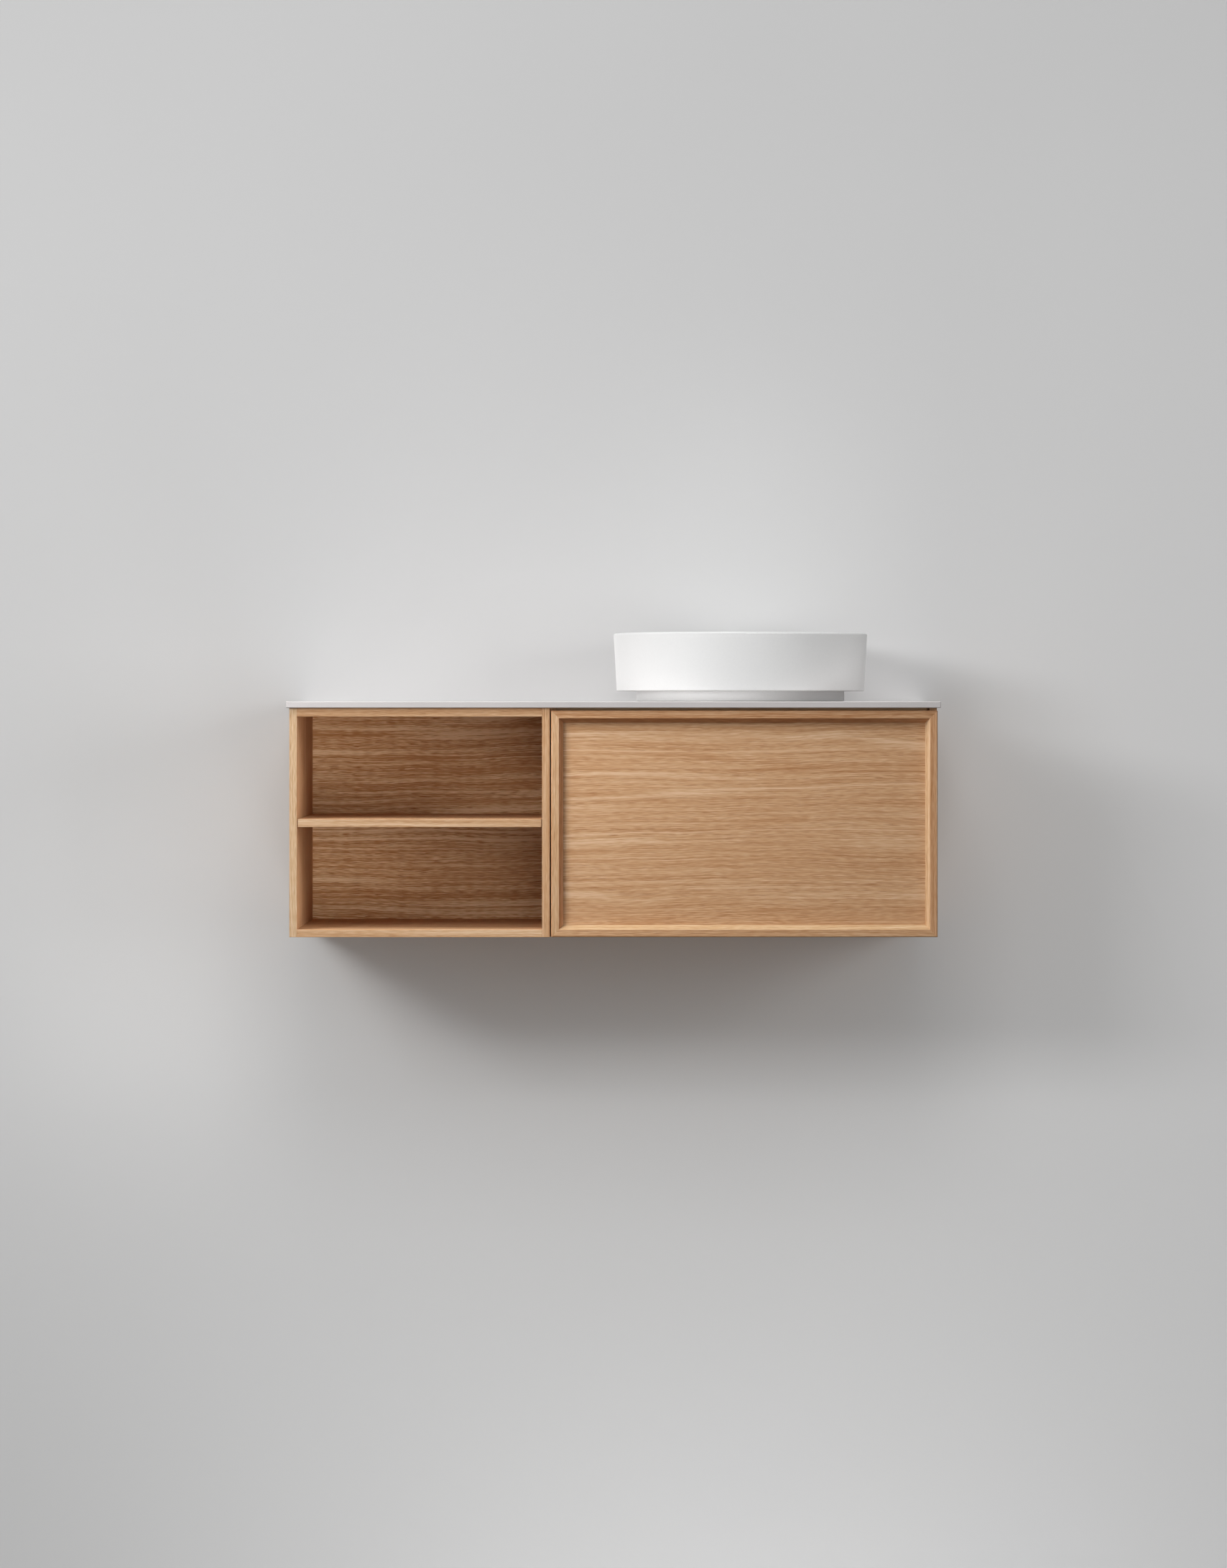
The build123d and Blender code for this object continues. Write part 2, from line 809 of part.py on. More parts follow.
def box_floor_space():
    """The groove that holds the bottom's edges."""
    reach = box_groove + groove_end_gap
    low = (box_inner_left - reach, box_front_inner - reach, box_floor_low)
    high = (box_inner_right + reach, box_rear, box_floor_top)
    block(low, high, Mode.SUBTRACT)


with BuildPart() as drawer_box_front:
    block((box_inner_left, front_rear, box_bottom), (box_inner_right, box_front_inner, box_top))
    box_floor_space()
    front_screws(hole_clearance, Mode.SUBTRACT)
save(drawer_box_front, "drawer_box_front")

with BuildPart() as drawer_box_left:
    block((box_left, front_rear, box_bottom), (box_inner_left, box_rear, box_top))
    box_floor_space()
    runner_screws(box_left, -1, hole_clearance, Mode.SUBTRACT)
save(drawer_box_left, "drawer_box_left")

with BuildPart() as drawer_box_right:
    block((box_inner_right, front_rear, box_bottom), (box_right, box_rear, box_top))
    box_floor_space()
    runner_screws(box_right, 1, hole_clearance, Mode.SUBTRACT)
save(drawer_box_right, "drawer_box_right")

with BuildPart() as drawer_box_bottom:
    block(
        (box_inner_left - box_groove, box_front_inner - box_groove, box_floor_low),
        (box_inner_right + box_groove, box_rear, box_floor_top),
    )
    block(
        (recess_left, recess_front, box_floor_low),
        (recess_right, box_rear, box_floor_top),
        Mode.SUBTRACT,
    )
save(drawer_box_bottom, "drawer_box_bottom")

with BuildPart() as drawer_back_left:
    block(
        (box_inner_left, box_rear - box_side, box_floor_top),
        (recess_left - box_side, box_rear, box_top),
    )
save(drawer_back_left, "drawer_back_left")

with BuildPart() as drawer_back_right:
    block(
        (recess_right + box_side, box_rear - box_side, box_floor_top),
        (box_inner_right, box_rear, box_top),
    )
save(drawer_back_right, "drawer_back_right")

with BuildPart() as trap_recess_left:
    block(
        (recess_left - box_side, recess_front - box_side, box_floor_top),
        (recess_left, box_rear, box_top),
    )
save(trap_recess_left, "trap_recess_left")

with BuildPart() as trap_recess_right:
    block(
        (recess_right, recess_front - box_side, box_floor_top),
        (recess_right + box_side, box_rear, box_top),
    )
save(trap_recess_right, "trap_recess_right")

with BuildPart() as trap_recess_front:
    block(
        (recess_left, recess_front - box_side, box_floor_top),
        (recess_right, recess_front, box_top),
    )
save(trap_recess_front, "trap_recess_front")


# Round pieces on the basin's axis are drawn as half sections: radius, then height over the slab
basin_axis = Axis((drawer_middle, basin_y, counter_top), (0, 0, 1))
half_section = Plane(origin=(drawer_middle, basin_y, counter_top), x_dir=(1, 0, 0), z_dir=(0, -1, 0))


def on_axis(height):
    """A point on the basin's axis."""
    return (drawer_middle, basin_y, height)


flange_seat = basin_floor_height - flange_thickness - flange_seal_thickness
cavity_top = basin_floor_height - basin_floor_thickness
inner_rim_radius = basin_rim_radius - basin_wall
with BuildPart() as basin:
    with BuildSketch(half_section):
        with BuildLine():
            FilletPolyline(
                (basin_hole_radius, seal_thickness),
                (boss_radius, seal_thickness),
                (boss_radius, cavity_top),
                (foot_radius - foot_wall, cavity_top),
                (foot_radius - foot_wall, seal_thickness),
                (foot_radius, seal_thickness),
                (foot_radius, foot_height),
                (basin_base_radius, foot_height),
                (basin_rim_radius, basin_height),
                (inner_rim_radius, basin_height),
                (basin_floor_radius, basin_floor_height + basin_floor_rise),
                (flange_radius + flange_gap, basin_floor_height),
                (flange_radius + flange_gap, flange_seat),
                (basin_hole_radius, flange_seat),
                radius=(
                    0,
                    0,
                    0,
                    0,
                    0,
                    0,
                    0,
                    basin_base_round,
                    basin_rim_round,
                    basin_rim_round,
                    basin_floor_round,
                    0,
                    0,
                    0,
                ),
                close=True,
            )
        make_face()
    revolve(axis=basin_axis)
save(basin, "basin")

with BuildPart() as basin_seal:
    ring(
        on_axis(counter_top),
        on_axis(counter_top + seal_thickness),
        foot_radius - seal_inset,
        foot_radius - foot_wall + seal_inset,
    )
save(basin_seal, "basin_seal")

# Click waste: a flanged tail with a guide for the plug's stem
with BuildPart() as waste_body:
    with BuildSketch(half_section):
        with BuildLine():
            Polyline(
                (tail_bore_radius, -tail_length),
                (tail_radius, -tail_length),
                (tail_radius, basin_floor_height - flange_thickness),
                (flange_radius, basin_floor_height - flange_thickness),
                (flange_radius, basin_floor_height),
                (tail_bore_radius, basin_floor_height),
                close=True,
            )
        make_face()
    revolve(axis=basin_axis)
    guide_reach = (tail_bore_radius + tail_radius) / 2
    block(
        (drawer_middle - guide_reach, basin_y - guide_bar / 2, counter_top - guide_height / 2),
        (drawer_middle + guide_reach, basin_y + guide_bar / 2, counter_top + guide_height / 2),
    )
    guide_low = on_axis(counter_top - guide_height / 2)
    guide_high = on_axis(counter_top + guide_height / 2)
    rod(guide_low, guide_high, guide_boss_radius)
    rod(guide_low, guide_high, plug_stem_radius + running_gap, Mode.SUBTRACT)
save(waste_body, "waste_body")

with BuildPart() as waste_flange_seal:
    ring(
        on_axis(counter_top + flange_seat),
        on_axis(counter_top + flange_seat + flange_seal_thickness),
        flange_radius,
        tail_radius + tail_clearance,
    )
save(waste_flange_seal, "waste_flange_seal")

with BuildPart() as waste_washer:
    ring(
        on_axis(carcass_top - washer_thickness),
        on_axis(carcass_top),
        washer_radius,
        tail_radius + tail_clearance,
    )
save(waste_washer, "waste_washer")

with BuildPart() as waste_lock_nut:
    with BuildSketch(Plane.XY.offset(carcass_top - washer_thickness)):
        with Locations((drawer_middle, basin_y)):
            RegularPolygon(lock_nut_corner_radius, 6)
            Circle(tail_radius + tail_clearance, mode=Mode.SUBTRACT)
    extrude(amount=-lock_nut_height)
save(waste_lock_nut, "waste_lock_nut")

# Plug: a cap over the flange, a stem through the guide and a stop below it
plug_low = basin_floor_height + running_gap + plug_seal_thickness
stop_top = -guide_height / 2 - plug_travel - running_gap
with BuildPart() as waste_plug:
    with BuildSketch(half_section):
        with BuildLine():
            FilletPolyline(
                (0, stop_top - plug_stop_height),
                (plug_stop_radius, stop_top - plug_stop_height),
                (plug_stop_radius, stop_top),
                (plug_stem_radius, stop_top),
                (plug_stem_radius, plug_low),
                (plug_cap_radius, plug_low),
                (plug_cap_radius, plug_low + plug_cap_height),
                (0, plug_low + plug_cap_height),
                radius=(0, 0, 0, 0, 0, 0, plug_cap_round, 0),
                close=True,
            )
        make_face()
    revolve(axis=basin_axis)
save(waste_plug, "waste_plug")

with BuildPart() as plug_seal:
    ring(
        on_axis(counter_top + plug_low - plug_seal_thickness),
        on_axis(counter_top + plug_low),
        plug_seal_outer,
        plug_seal_inner,
    )
save(plug_seal, "plug_seal")


def union_nut(end, towards, thread_radius):
    """A nut that draws a pipe's collar onto a threaded end; its floor lies past that end."""
    start = Plane(origin=end, z_dir=towards).offset(collar_height + union_floor - union_height)
    with BuildSketch(start) as section:
        RegularPolygon(union_radius, union_sides)
    extrude(section.sketch, amount=union_height)
    with Locations(start):
        Cylinder(pipe_radius + tail_clearance, union_height, align=BASE, mode=Mode.SUBTRACT)
        Cylinder(thread_radius + tail_clearance, union_height - union_floor, align=BASE, mode=Mode.SUBTRACT)


with BuildPart() as trap_inlet_nut:
    union_nut(on_axis(tail_end), (0, 0, -1), tail_radius)
save(trap_inlet_nut, "trap_inlet_nut")

# Bottle trap: a head with a side outlet, a cup below it and a pipe that dips into the cup
cup_floor = outlet_z - head_below_outlet + cup_overlap - cup_length + cup_wall
with BuildPart() as trap_inlet_pipe:
    rod(on_axis(tail_end), on_axis(tail_end - collar_height), collar_radius)
    rod(on_axis(tail_end), on_axis(cup_floor + dip_above_cup_floor), pipe_radius)
    rod(on_axis(tail_end), on_axis(cup_floor), pipe_radius - pipe_wall, Mode.SUBTRACT)
save(trap_inlet_pipe, "trap_inlet_pipe")

outlet_start = (drawer_middle, basin_y, outlet_z)
socket_end = (drawer_middle, basin_y + socket_length, outlet_z)
head_top = outlet_z + head_above_outlet
head_bottom = outlet_z - head_below_outlet
with BuildPart() as trap_head:
    rod(on_axis(head_bottom), on_axis(head_top), head_radius)
    rod(on_axis(head_top), on_axis(head_top + neck_height), neck_radius)
    rod(outlet_start, socket_end, collar_radius)
    rod(on_axis(head_bottom), on_axis(head_top - head_wall), head_radius - head_wall, Mode.SUBTRACT)
    rod(on_axis(head_bottom), on_axis(head_top + neck_height), pipe_radius + tail_clearance, Mode.SUBTRACT)
    rod(outlet_start, socket_end, pipe_radius + tail_clearance, Mode.SUBTRACT)
save(trap_head, "trap_head")

cup_top = head_bottom + cup_overlap
cup_inner_radius = head_radius + tail_clearance
cup_radius = cup_inner_radius + cup_wall
trap_axis_plane = Plane(origin=on_axis(cup_top), x_dir=(1, 0, 0), z_dir=(0, -1, 0))
with BuildPart() as trap_cup:
    with BuildSketch(trap_axis_plane):
        with BuildLine():
            FilletPolyline(
                (0, -cup_length),
                (cup_radius, -cup_length),
                (cup_radius, 0),
                (cup_inner_radius, 0),
                (cup_inner_radius, cup_wall - cup_length),
                (0, cup_wall - cup_length),
                radius=(0, cup_round, 0, 0, cup_round - cup_wall, 0),
                close=True,
            )
        make_face()
    revolve(axis=basin_axis)
save(trap_cup, "trap_cup")

# Outlet pipe through the open back of the cabinet into the wall
with BuildPart() as trap_outlet_nut:
    union_nut(socket_end, INTO_WALL, collar_radius)
save(trap_outlet_nut, "trap_outlet_nut")

pipe_start = (drawer_middle, basin_y + socket_length - pipe_in_socket, outlet_z)
wall_point = (drawer_middle, 0, outlet_z)
pipe_end = (drawer_middle, spigot_length, outlet_z)
with BuildPart() as trap_outlet_pipe:
    rod(pipe_start, wall_point, pipe_radius)
    rod(wall_point, pipe_end, spigot_radius)
    rod(pipe_start, pipe_end, pipe_radius - pipe_wall, Mode.SUBTRACT)
save(trap_outlet_pipe, "trap_outlet_pipe")

with BuildPart() as wall_rosette:
    rosette_front = (drawer_middle, -rosette_depth, outlet_z)
    rod(rosette_front, wall_point, rosette_radius)
    fillet(wall_rosette.faces().sort_by(Axis.Y)[0].edges(), rosette_round)
    rod(rosette_front, wall_point, pipe_radius + tail_clearance, Mode.SUBTRACT)
save(wall_rosette, "wall_rosette")
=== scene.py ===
import math

import bmesh
import bpy
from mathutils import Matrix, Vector


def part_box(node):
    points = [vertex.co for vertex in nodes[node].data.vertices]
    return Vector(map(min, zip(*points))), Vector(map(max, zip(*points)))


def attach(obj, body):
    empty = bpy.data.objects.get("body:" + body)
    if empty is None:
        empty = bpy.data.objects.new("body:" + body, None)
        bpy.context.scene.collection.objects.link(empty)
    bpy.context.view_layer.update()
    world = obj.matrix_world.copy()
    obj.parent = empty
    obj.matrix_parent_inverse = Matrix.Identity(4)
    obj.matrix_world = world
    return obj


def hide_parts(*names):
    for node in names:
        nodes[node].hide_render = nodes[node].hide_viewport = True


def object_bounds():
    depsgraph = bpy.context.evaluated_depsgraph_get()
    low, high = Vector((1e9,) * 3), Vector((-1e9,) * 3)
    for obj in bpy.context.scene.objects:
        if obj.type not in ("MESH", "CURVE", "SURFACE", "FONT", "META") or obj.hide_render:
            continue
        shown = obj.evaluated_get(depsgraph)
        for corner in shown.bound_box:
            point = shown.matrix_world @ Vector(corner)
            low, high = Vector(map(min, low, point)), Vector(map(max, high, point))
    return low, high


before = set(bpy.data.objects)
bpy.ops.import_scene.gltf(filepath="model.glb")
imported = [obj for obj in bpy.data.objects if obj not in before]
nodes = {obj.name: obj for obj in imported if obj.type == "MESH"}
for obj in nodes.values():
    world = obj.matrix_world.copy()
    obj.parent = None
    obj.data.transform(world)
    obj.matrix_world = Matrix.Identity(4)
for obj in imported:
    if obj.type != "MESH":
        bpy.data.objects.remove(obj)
cad_low, cad_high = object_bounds()
pieces = []
slab_low, slab_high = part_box("countertop")
basin_low, basin_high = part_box("basin")

# Photograph: its height and the slab's front edges in pixels, and the camera that they give
IMAGE_HEIGHT = 2182
IMAGE_CENTRE_Y = IMAGE_HEIGHT / 2
HORIZON_Y = 990
SLAB_TOP_Y = 976
SLAB_LEFT_X = 397.8
SLAB_RIGHT_X = 1310.25
CAMERA_DISTANCE = 8.9
CAMERA_REACH = 100.0
SENSOR = 36.0

# Stage: a wall and a floor that fade out far from the object, in a pale dome
WALL_GAP = 0.0005
STAGE_REACH = 9.0
FLOOR_DROP = 1.35
WALL_RISE = 4.0
FADE_START = 3.0
FADE_END = 8.0
WALL_PAINT = (0.76, 0.76, 0.76)
FLOOR_PAINT = (0.80, 0.80, 0.79)
PAINT_SCALE = 1.2
PAINT_DARK = 0.985
PAINT_ROUGHNESS = 0.9
PAINT_SPECULAR = 0.2
DOME_RADIUS = 14.0
DOME_SEGMENTS = 48
DOME_RINGS = 24
DOME_TONE = 0.56
DOME_SPREAD = 0.1
DOME_COLOUR = (1.0, 1.0, 0.995, 1.0)

# Sky: its strength straight up, and the heights between which it rises to that
SKY_LIGHT = 0.60
SKY_LOW = -0.1
SKY_HIGH = 0.9

# Places in the wall's plane at which a few lamps are aimed
HALO_RISE = 0.10
GLOW_OFFSET = 0.08
BOUNCE_OFFSET = 0.20
BOUNCE_DROP = 0.53

# Screw meshes
MERGE_DISTANCE = 0.000005
SCREW_SIDES = 32

# Screws' forms, as shares of the head's radius, or of the shank's for the point
HEAD_FACE = 0.95
HEAD_EDGE = 0.06
RECESS_MOUTH = (0.60, 0.15)
RECESS_FLOOR = (0.34, 0.09)
RECESS_DEPTH = 0.5
POINT_LENGTH = 2
POINT_RADIUS = 0.15

# The values between which most of a noise lies, and their middle
NOISE_LOW = 0.3
NOISE_HIGH = 0.7
NOISE_MIDDLE = 0.5

# Oak, as the share of light it returns
OAK_DARK = (0.440, 0.200, 0.077)
OAK_MIDDLE = (0.620, 0.355, 0.182)
OAK_LIGHT = (0.775, 0.530, 0.335)
OAK_PORE = (0.345, 0.138, 0.048)
PLAIN = (1.0, 1.0, 1.0)

# Oak's grain: each layer's scale along and across it and its detail, or the height of a wave
OAK_WAVES = ((1.2, 2.0, 0.030), (4.0, 7.0, 0.018), (13.0, 24.0, 0.0025))
OAK_BROAD = (0.8, 20.0, 1.0)
OAK_MEDIUM = (1.8, 150.0, 1.0)
OAK_FINE = (6.0, 1000.0, 0.0)
OAK_FLECKS = (60.0, 1150.0, 0.0)
OAK_RINGS = (0.9, 36.0, 1.0)
OAK_PORES = (46.0, 1150.0, 0.0)

# Oak's tone: its middle, the weight of each layer, and the stops of its colours
OAK_TONE = 0.51
BROAD_WEIGHT = 0.30
MEDIUM_WEIGHT = 0.48
FINE_WEIGHT = 1.00
FLECK_WEIGHT = 0.82
PALE_WEIGHT = 0.30
DARK_WEIGHT = -0.13
OAK_STOPS = (0.10, 0.5, 0.90)

# Oak's growth lines: their value in the rings and how far they spread from it, and the bands that
# carry pale ones. Its pores: their values in the noise, and their share in dark and light streaks
LIGHT_LINES = (0.53, 0.050)
DARK_LINES = (0.43, 0.030)
PALE_BANDS = (0.40, 0.56)
PORE_RANGE = (0.56, 0.68)
PORE_STREAKS = (0.36, 0.62)
PORE_MOST = 0.80
PORE_LEAST = 0.20

# Oak's lacquer and relief, and how far its flat and slanted faces turn to the front or the rear
OAK_ROUGHNESS = (0.52, 0.66)
OAK_SPECULAR = 0.12
OAK_RELIEF = 0.5
OAK_BUMP = (0.06, 0.00025)
FLAT_FACE = 0.75
SLANTED_FACE = 0.25

# Plywood: the stops of its faces and of its layers, seen at the edges, and its grain as for oak
PLY_FACE = (
    (0.30, (0.56, 0.40, 0.235)),
    (0.5, (0.665, 0.505, 0.325)),
    (0.72, (0.74, 0.585, 0.40)),
)
PLY_LAYERS = (
    (0.0, (0.42, 0.27, 0.145)),
    (0.12, (0.60, 0.44, 0.27)),
    (0.5, (0.50, 0.34, 0.19)),
    (0.62, (0.68, 0.52, 0.34)),
)
PLY_LAYERS_PER_METRE = 360.0
PLY_EDGE_FACE = 0.6
PLY_WAVE = (1.5, 3.0, 0.03)
PLY_MEDIUM = (2.5, 45.0, 2.0)
PLY_FINE = (14.0, 420.0, 2.0, 0.6)
PLY_WEIGHT = 0.5
PLY_ROUGHNESS = (0.45, 0.6)
PLY_BUMP = (0.15, 0.0002)

# Mineral surfaces and metals
SPECK_WEIGHT = 0.6
CLOUD_WEIGHT = 0.4
SPECK_STOPS = (0.35, 0.5, 0.65)
SPECK_DISTANCE = 0.0002
ROUGHNESS_SPREAD = 0.05
BRUSH_ACROSS = 900.0
BRUSH_ALONG = 12.0
SMEAR_SCALE = 60.0
METAL_STOPS = (0.35, 0.65)
METAL_DARK = 0.93
METAL_BUMP = (0.04, 0.0001)

# The colour sockets of a mix node
MIX_COLOURS = (6, 7)
MIX_RESULT = 2


class Nodes:
    """A material and short ways to build its node tree."""

    def __init__(self, name):
        self.material = bpy.data.materials.new(name)
        self.material.use_nodes = True
        self.tree = self.material.node_tree
        self.tree.nodes.clear()
        self.shader = self.add("ShaderNodeBsdfPrincipled")
        self.output = self.add("ShaderNodeOutputMaterial")
        self.tree.links.new(self.shader.outputs["BSDF"], self.output.inputs["Surface"])

    def add(self, kind, **settings):
        node = self.tree.nodes.new(kind)
        for key, value in settings.items():
            setattr(node, key, value)
        return node

    def put(self, socket, value):
        """Link another node's socket to this one, or set its constant."""
        if isinstance(value, bpy.types.NodeSocket):
            self.tree.links.new(value, socket)
        else:
            socket.default_value = value

    def set(self, **inputs):
        """Set the shader's own sockets."""
        for name, value in inputs.items():
            self.put(self.shader.inputs[name.replace("_", " ")], value)

    def maths(self, operation, *values):
        node = self.add("ShaderNodeMath", operation=operation)
        for socket, value in zip(node.inputs, values):
            self.put(socket, value)
        return node.outputs[0]

    def combine(self, *values):
        node = self.add("ShaderNodeCombineXYZ")
        for socket, value in zip(node.inputs, values):
            self.put(socket, value)
        return node.outputs[0]

    def separate(self, vector):
        node = self.add("ShaderNodeSeparateXYZ")
        self.put(node.inputs[0], vector)
        return node.outputs

    def place(self):
        """The point's place in the part's own frame."""
        return self.add("ShaderNodeTexCoord").outputs["Object"]

    def facing(self, axis):
        """How far the surface faces along an axis of the part's own frame."""
        normal = self.add("ShaderNodeTexCoord").outputs["Normal"]
        return self.separate(normal)["XYZ".index(axis)]

    def noise(self, vector, scale=1.0, detail=2.0, roughness=0.5):
        node = self.add("ShaderNodeTexNoise")
        self.put(node.inputs["Vector"], vector)
        node.inputs["Scale"].default_value = scale
        node.inputs["Detail"].default_value = detail
        node.inputs["Roughness"].default_value = roughness
        return node.outputs["Fac"]

    def remap(self, value, low, high, to_low=0.0, to_high=1.0):
        node = self.add("ShaderNodeMapRange")
        for socket, number in zip(node.inputs, (value, low, high, to_low, to_high)):
            self.put(socket, number)
        return node.outputs[0]

    def ramp(self, value, *stops):
        """A colour for each value, from (position, colour) stops."""
        node = self.add("ShaderNodeValToRGB")
        elements = node.color_ramp.elements
        while len(elements) < len(stops):
            elements.new(1.0)
        for element, (position, colour) in zip(elements, stops):
            element.position = position
            element.color = (*colour, 1.0)
        self.put(node.inputs[0], value)
        return node.outputs[0]

    def mix(self, share, first, second, blend="MIX"):
        """Mix or multiply two colours, in the share given of the second."""
        node = self.add("ShaderNodeMix", data_type="RGBA", blend_type=blend)
        self.put(node.inputs["Factor"], share)
        for number, colour in zip(MIX_COLOURS, (first, second)):
            self.put(node.inputs[number], (*colour, 1.0) if isinstance(colour, tuple) else colour)
        return node.outputs[MIX_RESULT]

    def bump(self, height, strength, distance):
        node = self.add("ShaderNodeBump")
        node.inputs["Strength"].default_value = strength
        node.inputs["Distance"].default_value = distance
        self.put(node.inputs["Height"], height)
        self.put(self.shader.inputs["Normal"], node.outputs[0])


# Axes of a board: along its grain, across it, through it
BOARD_AXES = {"X": (0, 2, 1), "Z": (2, 0, 1), "Y": (1, 0, 2)}
BOARD_SHIFT = 7.3
GOLDEN = 0.618034


class BoardSpace:
    """Coordinates along and across a board's grain, shifted so that no two boards look alike."""

    def __init__(self, n, along, number):
        places = n.separate(n.place())
        order = BOARD_AXES[along]
        shifts = [BOARD_SHIFT * ((number * GOLDEN * (k + 1)) % 1.0) for k in range(3)]
        self.n = n
        self.u, self.v, self.w = [
            n.maths("ADD", places[axis], shift) for axis, shift in zip(order, shifts)
        ]

    def streaks(self, along_scale, across_scale, detail=2.0, roughness=0.5):
        """Noise drawn out along the grain."""
        n = self.n
        vector = n.combine(
            n.maths("MULTIPLY", self.u, along_scale),
            n.maths("MULTIPLY", self.v, across_scale),
            n.maths("MULTIPLY", self.w, across_scale),
        )
        return n.noise(vector, detail=detail, roughness=roughness)

    def wave(self, along_scale, across_scale, height):
        """Bend the grain slowly up and down along the board."""
        n = self.n
        streaks = self.streaks(along_scale, across_scale, detail=1.0)
        slow = n.maths("SUBTRACT", streaks, NOISE_MIDDLE)
        self.v = n.maths("MULTIPLY_ADD", slow, height, self.v)


def oak(
    name,
    along,
    number,
    wave=1.0,
    contrast=1.0,
    lines=1.0,
    tint=PLAIN,
    front=PLAIN,
    bevel=PLAIN,
    calm_rear=0.0,
):
    """Lacquered oak: bands, long wavy lines, fine streaks and short dark pores along the grain.

    tint is the whole board's; front and bevel are light and shade painted on its flat and its
    slanted front faces, and calm_rear is the share by which its rear loses the figure.
    """
    n = Nodes(name)
    dark, middle, light, pore = [
        tuple(channel * share for channel, share in zip(colour, tint))
        for colour in (OAK_DARK, OAK_MIDDLE, OAK_LIGHT, OAK_PORE)
    ]
    board = BoardSpace(n, along, number)
    for along_scale, across_scale, height in OAK_WAVES:
        board.wave(along_scale, across_scale, height * wave)
    broad = board.streaks(*OAK_BROAD)
    medium = board.streaks(*OAK_MEDIUM)
    fine = board.streaks(*OAK_FINE)
    flecks = board.streaks(*OAK_FLECKS)
    rings = board.streaks(*OAK_RINGS)

    def growth_lines(value, spread):
        away = n.maths("ABSOLUTE", n.maths("SUBTRACT", rings, value))
        return n.remap(away, 0.0, spread, 1.0, 0.0)

    pale = n.maths("MULTIPLY", growth_lines(*LIGHT_LINES), n.remap(broad, *PALE_BANDS))
    tone = OAK_TONE
    for layer, weight in (
        (broad, BROAD_WEIGHT),
        (medium, MEDIUM_WEIGHT),
        (fine, FINE_WEIGHT),
        (flecks, FLECK_WEIGHT),
    ):
        change = n.maths("SUBTRACT", layer, NOISE_MIDDLE)
        tone = n.maths("MULTIPLY_ADD", change, weight * contrast, tone)
    tone = n.maths("MULTIPLY_ADD", pale, PALE_WEIGHT * lines, tone)
    tone = n.maths("MULTIPLY_ADD", growth_lines(*DARK_LINES), DARK_WEIGHT * lines, tone)
    wood = n.ramp(tone, *zip(OAK_STOPS, (dark, middle, light)))

    pores = n.remap(board.streaks(*OAK_PORES), *PORE_RANGE)
    share = n.remap(medium, *PORE_STREAKS, PORE_MOST * contrast, PORE_LEAST * contrast)
    pores = n.maths("MULTIPLY", pores, share)
    pores = n.maths("MULTIPLY", pores, n.maths("SUBTRACT", 1.0, pale))
    colour = n.mix(pores, wood, pore)

    if calm_rear:
        rear = n.maths("GREATER_THAN", n.facing("Y"), FLAT_FACE)
        colour = n.mix(n.maths("MULTIPLY", rear, calm_rear), colour, middle)
    # Painted light and shade: front and bevel multiply lit faces paler and shaded faces darker or
    # warmer
    if front != PLAIN or bevel != PLAIN:
        facing = n.facing("Y")
        flat = n.maths("LESS_THAN", facing, -FLAT_FACE)
        slanted = n.maths("SUBTRACT", n.maths("LESS_THAN", facing, -SLANTED_FACE), flat)
        colour = n.mix(flat, colour, front, "MULTIPLY")
        colour = n.mix(slanted, colour, bevel, "MULTIPLY")
    n.set(Base_Color=colour, Specular_IOR_Level=OAK_SPECULAR)
    n.set(Roughness=n.remap(fine, NOISE_LOW, NOISE_HIGH, *OAK_ROUGHNESS))
    n.bump(n.maths("SUBTRACT", n.maths("MULTIPLY", fine, OAK_RELIEF), pores), *OAK_BUMP)
    return n.material


def plywood(name, along, through, number):
    """Sealed birch plywood: pale faces with a soft grain, and its layers at the edges."""
    n = Nodes(name)
    board = BoardSpace(n, along, number)
    board.wave(*PLY_WAVE)
    medium = board.streaks(*PLY_MEDIUM)
    fine = board.streaks(*PLY_FINE)
    tone = n.maths("MULTIPLY_ADD", fine, PLY_WEIGHT, n.maths("MULTIPLY", medium, PLY_WEIGHT))
    thickness = n.separate(n.place())["XYZ".index(through)]
    layer = n.maths("FRACT", n.maths("MULTIPLY", thickness, PLY_LAYERS_PER_METRE))
    edge = n.maths("LESS_THAN", n.maths("ABSOLUTE", n.facing(through)), PLY_EDGE_FACE)
    n.set(Base_Color=n.mix(edge, n.ramp(tone, *PLY_FACE), n.ramp(layer, *PLY_LAYERS)))
    n.set(Roughness=n.remap(fine, NOISE_LOW, NOISE_HIGH, *PLY_ROUGHNESS))
    n.bump(fine, *PLY_BUMP)
    return n.material


def speckled(name, base, spread, scale, roughness, bump=0.1, fine_scale=900.0, specular=0.5):
    """A dense mineral surface: faint clouds of tone, fine specks and a slight texture."""
    n = Nodes(name)
    place = n.place()
    clouds = n.noise(place, scale, detail=3.0)
    specks = n.noise(place, fine_scale, roughness=0.6)
    tone = n.maths("MULTIPLY_ADD", specks, SPECK_WEIGHT, n.maths("MULTIPLY", clouds, CLOUD_WEIGHT))
    dark = tuple(channel * (1 - spread) for channel in base)
    light = tuple(min(1.0, channel * (1 + spread)) for channel in base)
    low, high = roughness - ROUGHNESS_SPREAD, roughness + ROUGHNESS_SPREAD
    n.set(Base_Color=n.ramp(tone, *zip(SPECK_STOPS, (dark, base, light))))
    n.set(Roughness=n.remap(clouds, NOISE_LOW, NOISE_HIGH, low, high))
    n.set(Specular_IOR_Level=specular)
    n.bump(specks, bump, SPECK_DISTANCE)
    return n.material


